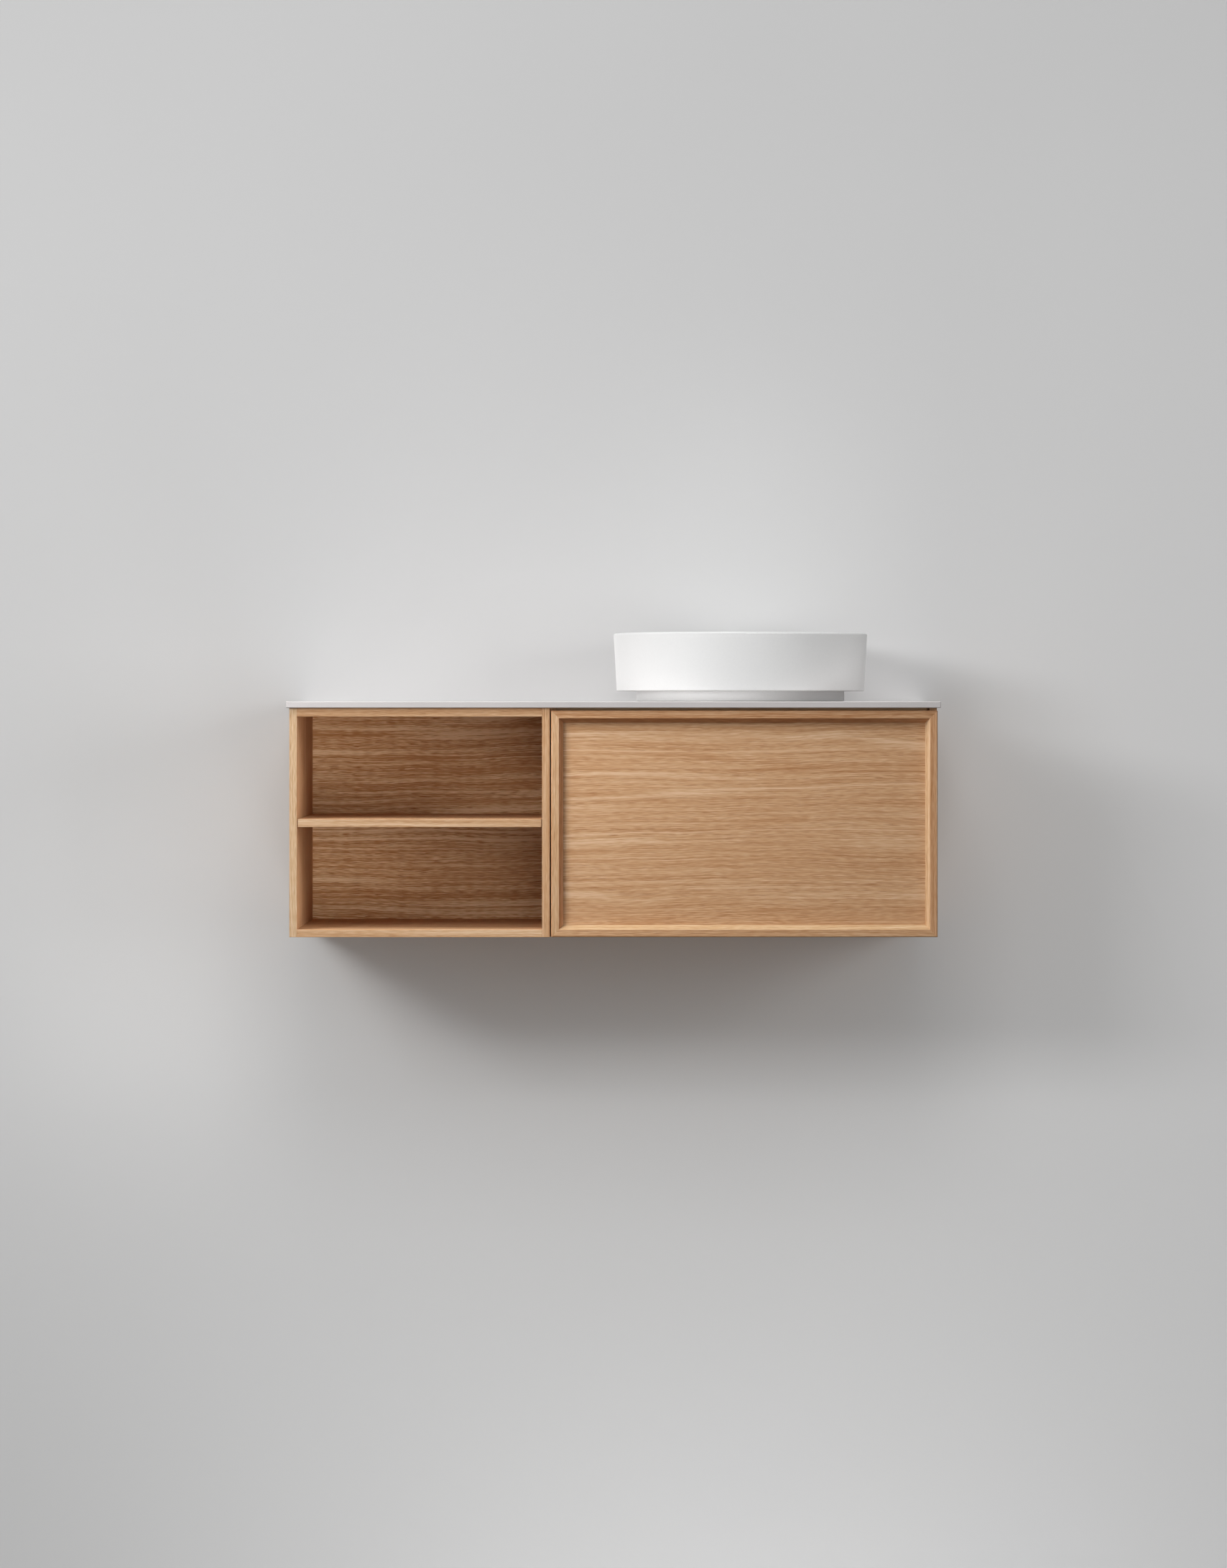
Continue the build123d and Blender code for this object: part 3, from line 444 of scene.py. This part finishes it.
def metal(name, colour, roughness, spread=0.05, brushed=None):
    """Plated or turned metal with faint smears, brushed along one axis where it has one."""
    n = Nodes(name)
    place = n.place()
    if brushed:
        scales = [BRUSH_ALONG if axis == brushed else BRUSH_ACROSS for axis in "XYZ"]
        parts = zip(n.separate(place), scales)
        marks = n.noise(n.combine(*[n.maths("MULTIPLY", part, scale) for part, scale in parts]))
    else:
        marks = n.noise(place, SMEAR_SCALE, detail=4.0, roughness=0.6)
    dark = tuple(channel * METAL_DARK for channel in colour)
    n.set(Base_Color=n.ramp(marks, *zip(METAL_STOPS, (dark, colour))), Metallic=1.0)
    n.set(Roughness=n.remap(marks, NOISE_LOW, NOISE_HIGH, roughness, roughness + spread))
    n.bump(marks, *METAL_BUMP)
    return n.material


def set_material(node, material):
    """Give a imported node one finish."""
    slots = nodes[node].data.materials
    slots.clear()
    slots.append(material)


# Oak boards by the run of their grain, and painted light and shade on their front faces: paler
# where lit, darker where in shade
LONG_BOARDS = (
    "shelf_top_panel shelf_bottom_panel middle_shelf cabinet_bottom cabinet_front_rail "
    "cabinet_hanging_rail cabinet_lower_rail drawer_top_rail drawer_bottom_rail"
).split()
UPRIGHT_BOARDS = (
    "shelf_left_side shelf_right_side cabinet_left_side cabinet_right_side "
    "drawer_left_stile drawer_right_stile"
).split()
# Painted light and shade on front faces: the lit fronts paler, the right stile and the top rail
# under the slab darker
FRONT_PAINTED_LIGHT_AND_SHADE = {
    "shelf_left_side": (1.18, 1.42, 1.66),
    "middle_shelf": (1.02, 1.08, 1.14),
    "shelf_bottom_panel": (1.05, 1.10, 1.14),
    "drawer_left_stile": (1.01, 1.07, 1.12),
    "drawer_right_stile": (0.97, 0.91, 0.87),
    "drawer_top_rail": (0.89, 0.85, 0.825),
}
# Painted light and shade on the drawer frame's bevels: the lit right and bottom ones paler and
# cooler, the shaded left and top ones warmer
BEVEL_PAINTED_LIGHT_AND_SHADE = {
    "drawer_left_stile": (1.20, 1.05, 0.97),
    "drawer_right_stile": (1.0, 1.11, 1.20),
    "drawer_top_rail": (1.10, 0.95, 0.87),
    "drawer_bottom_rail": (0.91, 1.03, 1.08),
}

# The first number of each kind of board: a board's number sets its place in the grain
FIRST_LONG = 1
FIRST_UPRIGHT = 21
PANEL_NUMBER = 41
BACK_NUMBER = 43
FIRST_PLY = 61
DOWEL_NUMBER = 71


def oak_boards(names, along, first):
    """Give each board its own oak, calmer than the drawer's panel, with the light and shade
    painted on its front faces and bevels.
    """
    for number, node in enumerate(names):
        board_oak = oak(
            "oak_" + node,
            along,
            number + first,
            wave=0.6,
            contrast=0.66,
            lines=0.6,
            front=FRONT_PAINTED_LIGHT_AND_SHADE.get(node, PLAIN),
            bevel=BEVEL_PAINTED_LIGHT_AND_SHADE.get(node, PLAIN),
        )
        set_material(node, board_oak)


oak_boards(LONG_BOARDS, "X", FIRST_LONG)
oak_boards(UPRIGHT_BOARDS, "Z", FIRST_UPRIGHT)
set_material("drawer_panel", oak("oak_drawer_panel", "X", PANEL_NUMBER, contrast=0.72))
back_oak = oak(
    "oak_shelf_back_panel",
    "X",
    BACK_NUMBER,
    wave=1.2,
    contrast=1.8,
    lines=3.4,
    tint=(1.0, 0.995, 0.93),
    calm_rear=0.6,
)
set_material("shelf_back_panel", back_oak)

# Plywood boards by the axis through their thickness
PLY_BOARDS = {
    "X": "drawer_box_left drawer_box_right trap_recess_left trap_recess_right".split(),
    "Y": (
        "drawer_box_front drawer_back_left drawer_back_right trap_recess_front "
        "shelf_hanging_cleat drawer_hanging_cleat shelf_wall_cleat drawer_wall_cleat"
    ).split(),
    "Z": ["drawer_box_bottom"],
}
for through, names in PLY_BOARDS.items():
    for number, node in enumerate(names):
        along = "Y" if through == "X" else "X"
        set_material(node, plywood("ply_" + node, along, through, number + FIRST_PLY))

chrome = metal("chrome_plate", (0.80, 0.81, 0.82), roughness=0.06)
zinc = metal("zinc_plate", (0.62, 0.63, 0.65), roughness=0.28, spread=0.12, brushed="Y")
zinc_turned = metal("zinc_turned", (0.62, 0.62, 0.62), roughness=0.30, spread=0.12)
nickel = metal("satin_nickel", (0.64, 0.61, 0.56), roughness=0.25, spread=0.10)
brass = metal("turned_brass", (0.72, 0.52, 0.25), roughness=0.22, spread=0.10)
rubber = speckled(
    "black_rubber", (0.022, 0.022, 0.023), spread=0.25, scale=40.0, roughness=0.62
)
silicone = speckled(
    "pale_silicone", (0.70, 0.70, 0.68), spread=0.04, scale=30.0, roughness=0.40
)
beech = oak("beech_dowel", "X", DOWEL_NUMBER, wave=0.4, contrast=0.8)
glaze = speckled(
    "white_glaze",
    (0.88, 0.88, 0.875),
    spread=0.012,
    scale=9.0,
    roughness=0.55,
    bump=0.02,
    fine_scale=260.0,
    specular=0.25,
)
slab = speckled(
    "pale_slab", (0.640, 0.604, 0.596), spread=0.05, scale=14.0, roughness=0.50, bump=0.05
)
FINISHES = {
    chrome: "waste_body waste_plug trap_inlet_nut trap_inlet_pipe trap_head trap_cup "
            "trap_outlet_nut trap_outlet_pipe wall_rosette",
    zinc: "left_runner_outer left_runner_middle left_runner_inner right_runner_outer "
          "right_runner_middle right_runner_inner",
    zinc_turned: "cleat_screws runner_cabinet_screws runner_drawer_screws drawer_front_screws",
    nickel: "shelf_supports module_bolts",
    brass: "waste_lock_nut",
    rubber: "waste_flange_seal waste_washer plug_seal drawer_buffers",
    silicone: "basin_seal",
    beech: "carcass_dowels",
    glaze: "basin",
    slab: "countertop",
}
for finish, names in FINISHES.items():
    for node in names.split():
        set_material(node, finish)


def loose_parts(node):
    """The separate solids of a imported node, each as its list of points."""
    mesh = bmesh.new()
    mesh.from_mesh(nodes[node].data)
    bmesh.ops.remove_doubles(mesh, verts=mesh.verts, dist=MERGE_DISTANCE)
    mesh.verts.index_update()
    seen = set()
    parts = []
    for first in mesh.verts:
        if first.index in seen:
            continue
        seen.add(first.index)
        waiting = [first]
        part = []
        while waiting:
            vertex = waiting.pop()
            part.append(vertex.co.copy())
            for edge in vertex.link_edges:
                other = edge.other_vert(vertex)
                if other.index not in seen:
                    seen.add(other.index)
                    waiting.append(other)
        parts.append(part)
    mesh.free()
    return parts


def cross_outline(half_length, half_width):
    """The corners of a cross, anticlockwise."""
    quarter = [(half_length, -half_width), (half_length, half_width), (half_width, half_width)]
    corners = []
    for turn in range(4):
        for x, y in quarter:
            for _ in range(turn):
                x, y = -y, x
            corners.append((x, y))
    return corners


def add_screw(mesh, points):
    """A countersunk screw with a cross recess, in the place and size of a plain one."""
    low = Vector([min(point[k] for point in points) for k in range(3)])
    high = Vector([max(point[k] for point in points) for k in range(3)])
    spans = high - low
    axis = max(range(3), key=lambda k: spans[k])
    centre = (low + high) / 2

    def radius(point):
        away = point - centre
        away[axis] = 0.0
        return away.length

    def end_radius(end):
        return max(radius(point) for point in points if abs(point[axis] - end) < MERGE_DISTANCE)

    head_low = end_radius(low[axis]) > end_radius(high[axis])
    head_end, tip_end = (low[axis], high[axis]) if head_low else (high[axis], low[axis])
    head_radius, shank = end_radius(head_end), end_radius(tip_end)
    head = centre.copy()
    head[axis] = head_end
    inward = Vector((0.0, 0.0, 0.0))
    inward[axis] = 1.0 if head_low else -1.0
    across = Vector([1.0 if k == (axis + 1) % 3 else 0.0 for k in range(3)])
    third = inward.cross(across)
    head_height = head_radius - shank
    edge_depth = HEAD_EDGE * head_radius
    length = spans[axis]

    def put(x, y, depth):
        return mesh.verts.new(head + across * x + third * y + inward * depth)

    def circle(size, depth):
        turns = [2 * math.pi * k / SCREW_SIDES for k in range(SCREW_SIDES)]
        return [put(size * math.cos(turn), size * math.sin(turn), depth) for turn in turns]

    def cross(shares, depth):
        outline = cross_outline(*[share * head_radius for share in shares])
        return [put(x, y, depth) for x, y in outline]

    def skin(first, second):
        for k in range(len(first)):
            after = (k + 1) % len(first)
            mesh.faces.new((first[k], first[after], second[after], second[k]))

    rings = [
        circle(HEAD_FACE * head_radius, 0.0),
        circle(head_radius, edge_depth),
        circle(shank, edge_depth + head_height),
        circle(shank, length - POINT_LENGTH * shank),
        circle(POINT_RADIUS * shank, length),
    ]
    for first, second in zip(rings, rings[1:]):
        skin(first, second)
    mesh.faces.new(rings[-1])
    mouth = cross(RECESS_MOUTH, 0.0)
    bottom = cross(RECESS_FLOOR, RECESS_DEPTH * head_radius)
    skin(mouth, bottom)
    mesh.faces.new(bottom)
    rims = []
    for loop in (rings[0], mouth):
        for k in range(len(loop)):
            rims.append(mesh.edges.get((loop[k], loop[(k + 1) % len(loop)])))
    bmesh.ops.triangle_fill(mesh, edges=rims, use_beauty=True, use_dissolve=False)


# Screws with cross recesses stand for the plain ones
for node, body in (
    ("cleat_screws", "cabinet"),
    ("runner_cabinet_screws", "cabinet"),
    ("runner_drawer_screws", "drawer"),
    ("drawer_front_screws", "drawer"),
):
    build = bmesh.new()
    for part in loose_parts(node):
        add_screw(build, part)
    bmesh.ops.recalc_face_normals(build, faces=build.faces)
    screws = bpy.data.objects.new("cross_" + node, bpy.data.meshes.new("cross_" + node))
    build.to_mesh(screws.data)
    build.free()
    screws.data.materials.append(zinc_turned)
    bpy.context.scene.collection.objects.link(screws)
    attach(screws, body)
    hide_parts(node)
    pieces.append(screws)


def one_sided(n, fade=None):
    """Let a stage surface be seen only from its front, and only where it hasn't faded out."""
    clear = n.add("ShaderNodeBsdfTransparent")
    choice = n.add("ShaderNodeMixShader")
    hidden = n.add("ShaderNodeNewGeometry").outputs["Backfacing"]
    if fade:
        hidden = n.maths("MAXIMUM", hidden, fade)
    n.put(choice.inputs[0], hidden)
    n.put(choice.inputs[1], n.shader.outputs[0])
    n.put(choice.inputs[2], clear.outputs[0])
    n.put(n.output.inputs["Surface"], choice.outputs[0])


def stage_mesh(name, points, faces):
    """A stage surface, which isn't part of the object."""
    mesh = bpy.data.meshes.new(name)
    mesh.from_pydata(points, [], faces)
    sheet = bpy.data.objects.new(name, mesh)
    bpy.context.scene.collection.objects.link(sheet)
    return sheet


def stage_paint(name, colour):
    """Matt paint with a faint change of tone, faded out far from the object."""
    n = Nodes(name)
    tone = n.noise(n.place(), PAINT_SCALE)
    dark = tuple(channel * PAINT_DARK for channel in colour)
    n.set(Base_Color=n.ramp(tone, (NOISE_LOW, dark), (NOISE_HIGH, colour)))
    n.set(Roughness=PAINT_ROUGHNESS, Specular_IOR_Level=PAINT_SPECULAR)
    length = n.add("ShaderNodeVectorMath", operation="LENGTH")
    n.put(length.inputs[0], n.place())
    one_sided(n, n.remap(length.outputs["Value"], FADE_START, FADE_END))
    return n.material


floor_z = cad_low.z - FLOOR_DROP
wall = stage_mesh(
    "wall",
    [
        (-STAGE_REACH, WALL_GAP, floor_z),
        (STAGE_REACH, WALL_GAP, floor_z),
        (STAGE_REACH, WALL_GAP, WALL_RISE),
        (-STAGE_REACH, WALL_GAP, WALL_RISE),
    ],
    [(0, 1, 2, 3)],
)
wall.data.materials.append(stage_paint("wall_paint", WALL_PAINT))
floor = stage_mesh(
    "floor",
    [
        (-STAGE_REACH, -STAGE_REACH, floor_z),
        (STAGE_REACH, -STAGE_REACH, floor_z),
        (STAGE_REACH, STAGE_REACH, floor_z),
        (-STAGE_REACH, STAGE_REACH, floor_z),
    ],
    [(0, 1, 2, 3)],
)
floor.data.materials.append(stage_paint("floor_paint", FLOOR_PAINT))

# A pale surround behind the faded wall and floor, for the other views and for metal to mirror
dome_build = bmesh.new()
bmesh.ops.create_uvsphere(
    dome_build, u_segments=DOME_SEGMENTS, v_segments=DOME_RINGS, radius=DOME_RADIUS
)
bmesh.ops.reverse_faces(dome_build, faces=dome_build.faces)
dome = stage_mesh("dome", [], [])
dome_build.to_mesh(dome.data)
dome_build.free()
dome_paint = Nodes("dome_paint")
dome_tone = dome_paint.remap(
    dome_paint.separate(dome_paint.place())[2],
    -DOME_RADIUS,
    DOME_RADIUS,
    (1 - DOME_SPREAD) * DOME_TONE,
    (1 + DOME_SPREAD) * DOME_TONE,
)
dome_paint.set(Base_Color=(0.0, 0.0, 0.0, 1.0), Specular_IOR_Level=0.0)
dome_paint.set(Emission_Color=DOME_COLOUR, Emission_Strength=dome_tone)
one_sided(dome_paint)
dome.data.materials.append(dome_paint.material)
for sheet in (wall, floor, dome):
    sheet.visible_shadow = False
    sheet.visible_diffuse = False

# Each group of nodes has its own balance of the same lamps; the carcass has all that aren't named
LIT_GROUPS = {
    "front": "drawer_panel drawer_top_rail drawer_bottom_rail drawer_left_stile "
             "drawer_right_stile",
    "shelf": "shelf_left_side shelf_right_side shelf_top_panel shelf_bottom_panel middle_shelf "
             "shelf_supports",
    "shelf_back": "shelf_back_panel",
    "rail": "cabinet_front_rail",
    "slab": "countertop",
    "basin": "basin basin_seal waste_body waste_plug",
}
lit = {
    group: bpy.data.collections.new("lit_" + group)
    for group in (*LIT_GROUPS, "carcass", "wall", "floor")
}
group_of = {node: group for group, names in LIT_GROUPS.items() for node in names.split()}
for node, part in nodes.items():
    lit[group_of.get(node, "carcass")].objects.link(part)
for part in pieces:
    lit["carcass"].objects.link(part)
lit["wall"].objects.link(wall)
lit["floor"].objects.link(floor)

# Lamps: the direction in which each stands off, its distance and its size. Most are aimed at the
# middle of the object, and those in AIMS at places on the wall
LAMPS = {
    "key": ((-0.80, -0.50, 0.33), 2.2, 0.7),
    "key_front": ((-0.66, -0.69, 0.29), 2.2, 0.7),
    "key_high": ((-0.55, -0.60, 0.58), 2.4, 0.8),
    "key_level": ((-0.66, -0.69, 0.11), 2.2, 0.7),
    "front": ((0.0, -1.0, 0.05), 6.0, 2.0),
    "front_low": ((0.0, -1.0, -0.10), 6.0, 1.5),
    "front_right": ((0.30, -1.0, -0.10), 5.0, 1.5),
    "side_right": ((0.55, -0.85, -0.10), 5.0, 1.5),
    "low_right": ((0.30, -0.90, -0.25), 5.0, 1.5),
    "right": ((0.88, -0.45, 0.10), 3.5, 2.2),
    "top": ((0.0, -0.35, 0.93), 3.0, 1.2),
    "top_left": ((-0.50, -0.35, 0.80), 3.0, 1.2),
    "top_front": ((0.0, -0.80, 0.60), 4.5, 1.5),
    "rear": ((-0.35, 0.93, 0.02), 5.0, 2.0),
    "right_rear": ((0.70, 0.70, 0.10), 3.5, 1.5),
    "under": ((0.0, 0.0, -1.0), 2.5, 1.2),
    "far_key": ((-0.663, -0.691, 0.287), 4.2, 0.7),
    "far_left": ((-0.50, -0.80, 0.33), 4.2, 0.9),
    "far_right": ((0.70, -0.70, 0.10), 5.0, 2.0),
    "low": ((0.0, -0.90, -0.40), 5.0, 2.0),
    "halo": ((0.0, -0.80, 0.70), 0.4, 0.2),
    "side_glow": ((-0.50, -0.80, -0.20), 0.6, 0.3),
    "bounce": ((0.0, -1.0, 0.0), 1.4, 0.5),
}
middle = (cad_low + cad_high) / 2
AIMS = {
    "halo": Vector(((basin_low.x + basin_high.x) / 2, WALL_GAP, basin_high.z + HALO_RISE)),
    "side_glow": Vector((cad_low.x - GLOW_OFFSET, WALL_GAP, cad_low.z + GLOW_OFFSET)),
    "bounce": Vector((middle.x + BOUNCE_OFFSET, WALL_GAP, floor_z - BOUNCE_DROP)),
}

# Watts of each lamp on each group
POWERS = {
    "front": {
        "front_low": 31.0,
        "low": 5.0,
        "key_front": 9.6,
        "key_high": 33.0,
        "top_left": 42.0,
        "rear": 30.0,
        "right_rear": 35.0,
    },
    "shelf": {
        "side_right": 13.0,
        "key_front": 9.6,
        "right": 80.0,
        "top_left": 53.0,
        "top_front": 30.0,
        "rear": 40.0,
        "under": 15.0,
    },
    "shelf_back": {
        "front": 47.0,
        "front_low": 26.0,
        "front_right": 27.0,
        "side_right": 55.0,
        "key_front": 18.0,
        "rear": 40.0,
    },
    "rail": {"front": 220.0, "rear": 40.0},
    "slab": {"low": 44.0, "top": 36.0, "key_front": 20.0, "rear": 30.0, "right_rear": 35.0},
    "basin": {
        "low_right": 32.0,
        "side_right": 3.0,
        "key_level": 24.5,
        "front": 20.0,
        "top": 24.0,
        "right": 12.0,
        "rear": 30.0,
    },
    "carcass": {
        "front": 40.0,
        "key": 10.0,
        "right": 25.0,
        "top_left": 20.0,
        "rear": 40.0,
        "under": 15.0,
    },
    "floor": {"top_front": 60.0},
    "wall": {
        "far_key": 31.0,
        "far_left": 30.0,
        "far_right": 58.0,
        "top_front": 30.0,
        "halo": 0.04,
        "side_glow": 0.50,
        "bounce": 10.3,
    },
}


def add_lamp(name, group, power):
    """A square soft light on one group, aimed at the middle of the object or at the wall."""
    direction, distance, size = LAMPS[name]
    data = bpy.data.lights.new(group + "_" + name, "AREA")
    data.size = size
    data.energy = power
    lamp = bpy.data.objects.new(data.name, data)
    away = Vector(direction).normalized()
    lamp.location = AIMS.get(name, middle) + away * distance
    lamp.rotation_euler = (-away).to_track_quat("-Z", "Y").to_euler()
    lamp.light_linking.receiver_collection = lit[group]
    lamp.visible_camera = False
    bpy.context.scene.collection.objects.link(lamp)


for group, powers in POWERS.items():
    for name, power in powers.items():
        add_lamp(name, group, power)

# Soft light from above, weaker towards the horizon
world = bpy.data.worlds.new("studio")
world.use_nodes = True
sky = world.node_tree
background = sky.nodes["Background"]
towards = sky.nodes.new("ShaderNodeSeparateXYZ")
sky.links.new(sky.nodes.new("ShaderNodeTexCoord").outputs["Generated"], towards.inputs[0])
brightness = sky.nodes.new("ShaderNodeMapRange")
sky.links.new(towards.outputs["Z"], brightness.inputs["Value"])
brightness.inputs["From Min"].default_value = SKY_LOW
brightness.inputs["From Max"].default_value = SKY_HIGH
brightness.inputs["To Max"].default_value = SKY_LIGHT
sky.links.new(brightness.outputs["Result"], background.inputs["Strength"])
background.inputs["Color"].default_value = (1.0, 1.0, 1.0, 1.0)
bpy.context.scene.world = world
bpy.context.scene.view_settings.view_transform = "Standard"

# Camera, level and straight at the slab's middle
metres_per_pixel = (slab_high.x - slab_low.x) / (SLAB_RIGHT_X - SLAB_LEFT_X)
lens = bpy.data.cameras.new("camera")
lens.sensor_width = SENSOR
lens.lens = SENSOR * CAMERA_DISTANCE / (IMAGE_HEIGHT * metres_per_pixel)
lens.shift_y = (HORIZON_Y - IMAGE_CENTRE_Y) / IMAGE_HEIGHT
lens.clip_end = CAMERA_REACH
camera = bpy.data.objects.new("camera", lens)
camera.location = (
    (slab_low.x + slab_high.x) / 2,
    slab_low.y - CAMERA_DISTANCE,
    slab_high.z - (HORIZON_Y - SLAB_TOP_Y) * metres_per_pixel,
)
camera.rotation_euler = (math.radians(90), 0, 0)
bpy.context.scene.collection.objects.link(camera)
bpy.context.scene.camera = camera
